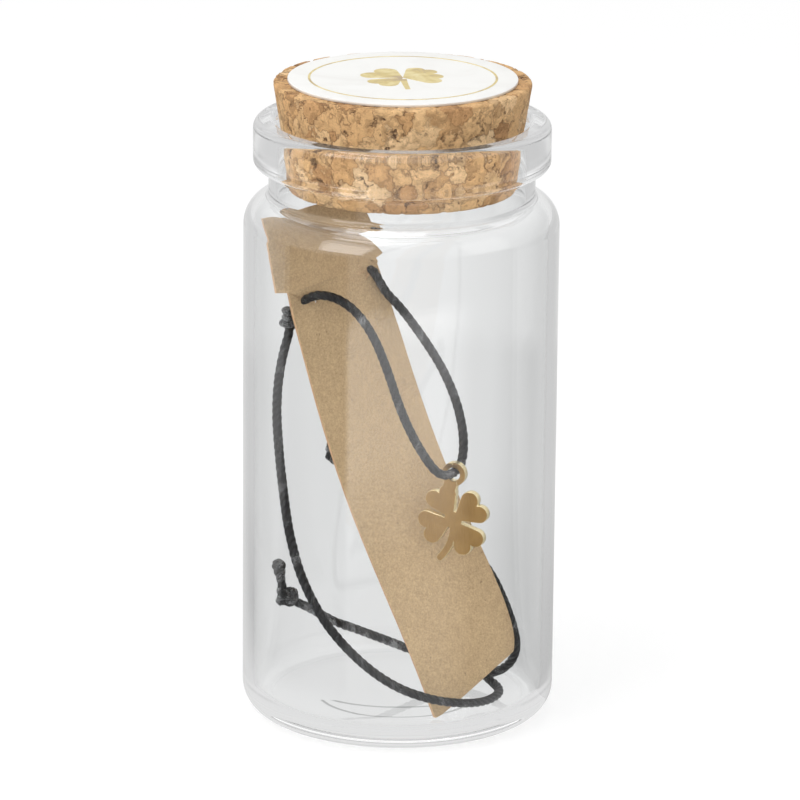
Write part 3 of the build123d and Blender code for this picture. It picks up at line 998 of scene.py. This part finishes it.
def makeGoldFinish(name, colours, roughness, strokes):
    material, tree, shader = newFinish(name, Metallic=1.0, Roughness=roughness)
    place = objectPlace(tree)
    brushed = addNode(tree, "ShaderNodeMapping", {"Vector": place, "Scale": (1, 1, 0.06)}).outputs[0]
    lines = noiseOver(tree, brushed, 14000, 3, roughness=0.6)
    cloud = noiseOver(tree, place, 520, 3)
    tone = plus(tree, times(tree, lines, 0.5), times(tree, cloud, 0.5))
    colour = rampColour(tree, tone, [(0.35, colours[0]), (0.65, colours[1])])
    tree.links.new(colour, shader.inputs["Base Color"])
    rough = spanned(tree, lines, 0.3, 0.7, roughness - 0.07, roughness + 0.1)
    tree.links.new(rough, shader.inputs["Roughness"])
    addBump(tree, shader, lines, strokes, 0.00002)
    return material


def makeCharm(settings):
    build = mergedCopy("clover_charm")
    bmesh.ops.recalc_face_normals(build, faces=build.faces)
    bmesh.ops.dissolve_limit(build, angle_limit=math.radians(1.0), verts=build.verts, edges=build.edges)
    faces = sorted(build.faces, key=lambda face: face.calc_area())[-2:]
    front = faces[0].normal.copy()
    rims = [edge for edge in build.edges if any(face in faces for face in edge.link_faces)]
    rounding = settings["edgeRounding"]
    bmesh.ops.bevel(build, geom=rims, offset=rounding, segments=2, profile=0.5, affect="EDGES")
    for face in build.faces:
        flat = abs(face.normal.dot(front)) > 0.98
        face.material_index = 0 if flat else 1
        face.smooth = not flat
    bmesh.ops.triangulate(build, faces=[face for face in build.faces if len(face.verts) > 4])
    # Triangulating leaves the faces in another order each run
    for place, face in enumerate(sorted(build.faces, key=lambda face: tuple(face.calc_center_median()))):
        face.index = place
    build.faces.sort()
    mesh = meshFrom("cloverCharm", build)
    # Flat faces get the gold with painted shade, cut sides the gold with painted highlight
    mesh.materials.append(makeGoldFinish("goldFacePaintedShadeFinish", *settings["face"]))
    mesh.materials.append(makeGoldFinish("goldCutPaintedHighlightFinish", *settings["cut"]))
    return finishPiece("cloverCharm", mesh, None, "charm", ["clover_charm"])


makeCharm(charm)
print("charm made")

# Studio: a pale floor with a painted glow that the glass shows, a pale world and soft lamps
studio = {
    "floorSize": 6.0,
    "floorColour": (0.80, 0.80, 0.80),
    "worldLight": 0.6,
    "seenThrough": 0.82,
    "seenAbove": 1.15,
    "skyFrom": (0.15, 0.5),
    "seenInGloss": 0.75,
    # what light scattered inside the vial finds outside it
    "worldThroughGlass": 1.05,
    "floorThroughGlass": 1.3,
    # windows beside the vial: aim, spread as cosines, and light
    "windows": [((0.66, -0.50, 0.56), 0.72, 0.95, 2.6), ((-0.80, -0.48, 0.36), 0.55, 0.95, 1.7)],
    "cameraFloor": 0.80,
    "cameraShare": 0.3,
    "plainTable": 0.75,
    "padSkin": 0.00002,
    # light that mirrors on inside the wall beyond what the renderer follows
    "deepFrom": 3.5,
    "deepTone": 0.66,
    # a crescent of painted shade on the pad under the foot: its oval, reach, start, line width and darkness
    "crescent": (0.0090, 0.0055),
    "crescentReach": 0.0094,
    "crescentStart": -0.0030,
    "crescentLine": 0.0003,
    "crescentShade": 0.42,
    "nearVial": 0.030,
    "fade": 0.010,
    # the painted glow of a bright sheet ahead, by its angle as a share of a turn and by its distance
    "focus": -0.00925,
    "darkTable": 0.07,
    "dimSheet": 0.45,
    "brightSheet": 1.5,
    "sheetStops": [
        (0.0, 0.0), (0.386, 0.0), (0.394, 1.0), (0.59, 1.0),
        (0.625, 0.55), (0.655, 0.1), (0.7, 0.05), (1.0, 0.05),
    ],
    "sheetReach": 0.25,
    "reachStops": [(0.0, 0.0), (0.37, 0.0), (0.56, 1.0), (0.83, 1.0), (0.86, 0.0), (1.0, 0.0)],
    "cornerShare": 0.46,
    "cornerBend": 12.0,
    # the painted glow of the table behind, by its place across and by its distance; the wall spreads what
    # lies farther
    "footprint": 0.017,
    "behindHalf": 0.040,
    "spread": 5.5,
    "behindHigh": [(0.0, 0.60), (0.3, 0.80), (0.65, 0.78), (0.8, 0.60), (1.0, 0.60)],
    "behindLow": [(0.0, 0.50), (0.3, 0.80), (0.6, 0.80), (0.75, 0.50), (1.0, 0.55)],
    "behindTop": [(0.0, 0.65), (0.3, 0.85), (0.5, 0.90), (0.7, 0.80), (1.0, 0.60)],
    "topReachStops": [(0.0, 0.0), (0.62, 0.0), (0.68, 1.0), (1.0, 1.0)],
    "behindReachStops": [(0.0, 0.0), (0.20, 0.0), (0.39, 1.0), (0.69, 1.0), (0.75, 0.0), (1.0, 0.0)],
    "lamps": [
        # name, place, aimed at, width, height, radiance
        ("topSoftbox", (-0.08, -0.12, 0.62), (0, 0, 0.04), 0.5, 0.4, 1.5),
        ("topStrip", (-0.17, -0.10, 0.60), (0, 0, 0.07), 0.36, 0.10, 4.0),
        ("rightSoftbox", (0.62, -0.25, 0.35), (0, 0, 0.04), 0.45, 0.6, 0.5),
        ("leftSoftbox", (-0.46, -0.46, 0.40), (0, 0, 0.04), 0.45, 0.5, 3.0),
    ],
}


def addLamp(name, spot, aim, width, height, radiance):
    data = bpy.data.lights.new(name, "AREA")
    data.shape = "RECTANGLE"
    data.size = width
    data.size_y = height
    data.energy = radiance * math.pi * width * height
    lamp = addObject(name, data)
    spot, aim = Vector(spot), Vector(aim)
    lamp.matrix_world = Matrix.Translation(spot) @ (spot - aim).to_track_quat("Z", "Y").to_matrix().to_4x4()
    lamp.visible_camera = False


def seenBy(tree, plain, seen):
    # A plain value for light that a surface scatters, and others for the rays that see it directly
    path = addNode(tree, "ShaderNodeLightPath").outputs
    straight = maths(tree, "LESS_THAN", path["Diffuse Depth"], 0.5)
    scattered = minus(tree, 1.0, straight)
    # A sharply refracted ray counts as glossy too
    mirrored = maths(tree, "MAXIMUM", minus(tree, path["Is Glossy Ray"], path["Is Transmission Ray"]), 0.0)
    rays = {
        "camera": path["Is Camera Ray"],
        "through": times(tree, path["Is Transmission Ray"], straight),
        "gloss": times(tree, mirrored, straight),
        "scattered": times(tree, path["Is Transmission Ray"], scattered),
    }
    total = plain
    for ray, value in seen.items():
        change = minus(tree, value, plain)
        total = plus(tree, total, times(tree, rays[ray], change))
    return total


def pick(tree, chosen, plain, other):
    return plus(tree, plain, times(tree, chosen, minus(tree, other, plain)))


def tableGlow(tree, settings):
    # Painted reflections: a glow on the table that only rays through or mirrored in the glass see, as a
    # bright sheet ahead with a dark field left of it, and paper behind
    place = addNode(tree, "ShaderNodeSeparateXYZ", {0: objectPlace(tree)}).outputs
    square = plus(tree, times(tree, place[0], place[0]), times(tree, place[1], place[1]))
    away = maths(tree, "SQRT", square)
    reach = maths(tree, "DIVIDE", away, settings["sheetReach"])

    angle = maths(tree, "ARCTAN2", place[0], minus(tree, settings["focus"], place[1]))
    share = plus(tree, maths(tree, "DIVIDE", angle, math.tau), 0.5)
    sheet = brightnessRamp(tree, share, settings["sheetStops"])
    corner = maths(tree, "MAXIMUM", minus(tree, settings["cornerShare"], share), 0.0)
    bent = times(tree, times(tree, corner, corner), settings["cornerBend"])
    bright = brightnessRamp(tree, plus(tree, reach, bent), settings["reachStops"])
    ahead = pick(tree, bright, settings["dimSheet"], settings["brightSheet"])
    ahead = plus(tree, settings["darkTable"], times(tree, sheet, ahead))
    # Only the vial's front wall mirrors the sheet
    walls = addNode(tree, "ShaderNodeLightPath").outputs["Transmission Depth"]
    firstWall = maths(tree, "LESS_THAN", walls, 2.5)
    far = spanned(tree, away, settings["nearVial"], settings["nearVial"] + settings["fade"])
    ahead = pick(tree, times(tree, firstWall, far), settings["plainTable"], ahead)

    back = minus(tree, place[1], settings["footprint"])
    widened = plus(tree, times(tree, maths(tree, "MAXIMUM", back, 0.0), settings["spread"]), 1.0)
    across = maths(tree, "DIVIDE", place[0], times(tree, widened, 2 * settings["behindHalf"]))
    across = plus(tree, across, 0.5)
    behind = pick(
        tree,
        brightnessRamp(tree, reach, settings["behindReachStops"]),
        brightnessRamp(tree, across, settings["behindLow"]),
        brightnessRamp(tree, across, settings["behindHigh"]),
    )
    behind = pick(
        tree,
        brightnessRamp(tree, reach, settings["topReachStops"]),
        behind,
        brightnessRamp(tree, across, settings["behindTop"]),
    )
    around = pick(tree, maths(tree, "GREATER_THAN", place[1], 0.0), ahead, behind)

    # Painted shade on the pad: dark crescent lines that stand in for what the pushed-up underside makes
    # ahead
    wide, deep = settings["crescent"]
    sides = [maths(tree, "DIVIDE", place[0], wide), maths(tree, "DIVIDE", place[1], deep)]
    oval = maths(tree, "SQRT", plus(tree, *(maths(tree, "POWER", side, 2.0) for side in sides)))
    inner = times(tree, minus(tree, oval, 1.0), deep)
    outer = minus(tree, settings["crescentReach"], away)
    line = maths(tree, "MINIMUM", maths(tree, "ABSOLUTE", inner), maths(tree, "ABSOLUTE", outer))
    width = settings["crescentLine"]
    drawn = spanned(tree, line, width * 0.3, width, settings["crescentShade"], 0.0)
    band = maths(tree, "GREATER_THAN", maths(tree, "MINIMUM", inner, outer), -settings["crescentLine"])
    band = times(tree, band, maths(tree, "LESS_THAN", place[1], settings["crescentStart"]))
    under = minus(tree, settings["plainTable"], times(tree, band, drawn))
    return pick(tree, maths(tree, "LESS_THAN", away, settings["footprint"]), around, under)


def brightnessRamp(tree, factor, stops):
    # A ramp holds values up to 1, so brightnesses are stored as shares of the highest
    highest = max(value for place, value in stops)
    colour = rampColour(tree, factor, [(place, (value / highest,) * 3) for place, value in stops])
    return times(tree, colour, highest)


def stagePiece(name, mesh, material):
    mesh.materials.append(material)
    addObject(name, mesh)


def makeStudio(settings):
    world = bpy.data.worlds.new("paleWorld")
    bpy.context.scene.world = world
    world.use_nodes = True
    tree = world.node_tree
    tree.nodes.clear()
    toward = addNode(tree, "ShaderNodeTexCoord").outputs["Generated"]
    scattered = settings["worldThroughGlass"]
    for aim, low, high, light in settings["windows"]:
        aimed = vectorMaths(tree, "DOT_PRODUCT", toward, Vector(aim).normalized())
        window = spanned(tree, aimed, low, high, end=light)
        scattered = plus(tree, scattered, window)
    height = addNode(tree, "ShaderNodeSeparateXYZ", {0: toward}).outputs["Z"]
    low, high = settings["skyFrom"]
    overhead = spanned(tree, height, low, high, settings["seenThrough"], settings["seenAbove"])
    seen = {"camera": 1.0, "through": overhead, "gloss": settings["seenInGloss"], "scattered": scattered}
    strength = seenBy(tree, settings["worldLight"], seen)
    background = addNode(tree, "ShaderNodeBackground", {"Color": (1, 1, 1, 1), "Strength": strength})
    output = addNode(tree, "ShaderNodeOutputWorld")
    tree.links.new(background.outputs[0], output.inputs["Surface"])

    half = settings["floorSize"] / 2
    mesh = bpy.data.meshes.new("studioFloor")
    corners = [(-half, -half, 0), (half, -half, 0), (half, half, 0), (-half, half, 0)]
    mesh.from_pydata(corners, [], [(0, 1, 2, 3)])
    material, tree, shader = newFinish("studioFloorFinish", Roughness=0.9, **{"Specular IOR Level": 0.0})
    table = tableGlow(tree, settings)
    seen = {"camera": settings["cameraFloor"], "through": table, "gloss": table}
    seen["scattered"] = settings["floorThroughGlass"]
    glow = seenBy(tree, 0.0, seen)
    seen = {"camera": settings["cameraShare"], "through": 0.0, "gloss": 0.0, "scattered": 0.0}
    shown = seenBy(tree, 1.0, seen)
    colour = mixColour(tree, shown, (0.0, 0.0, 0.0), settings["floorColour"])
    tree.links.new(colour, shader.inputs["Base Color"])
    shader.inputs["Emission Color"].default_value = (1, 1, 1, 1)
    tree.links.new(glow, shader.inputs["Emission Strength"])
    stagePiece("studioFloor", mesh, material)

    # A pad presses on the underside, so that the foot shows the table and not its own mirror images
    skin = settings["padSkin"]
    punt = puntCorners(glass)
    edge = punt[-1][0] + glass["footRing"]
    outline = [(radius, height + skin) for radius, height in punt]
    outline += [(edge, skin), (edge, -skin), (0, -skin)]
    stagePiece("studioPad", meshFrom("studioPad", spunMesh(outline, 96)), material)

    # A sheet amid the wall, seen only by light that is caught there: it would otherwise end as black lines
    caught = spunMesh(dividedOutline(roundedOutline(wallMiddle(glass)), 0.0015), 128)
    light = {"Specular IOR Level": 0.0, "Emission Strength": settings["deepTone"]}
    material, tree, shader = newFinish("studioCatchFinish", Roughness=1.0, **light)
    shader.inputs["Base Color"].default_value = (0, 0, 0, 1)
    shader.inputs["Emission Color"].default_value = (1, 1, 1, 1)
    path = addNode(tree, "ShaderNodeLightPath").outputs
    deep = maths(tree, "GREATER_THAN", path["Glossy Depth"], settings["deepFrom"])
    deep = times(tree, deep, maths(tree, "LESS_THAN", path["Diffuse Depth"], 0.5))
    tree.links.new(deep, shader.inputs["Alpha"])
    stagePiece("studioCatch", meshFrom("studioCatch", caught), material)

    for lamp in settings["lamps"]:
        addLamp(*lamp)


makeStudio(studio)
bpy.context.scene.view_settings.view_transform = "Standard"
print("studio made")
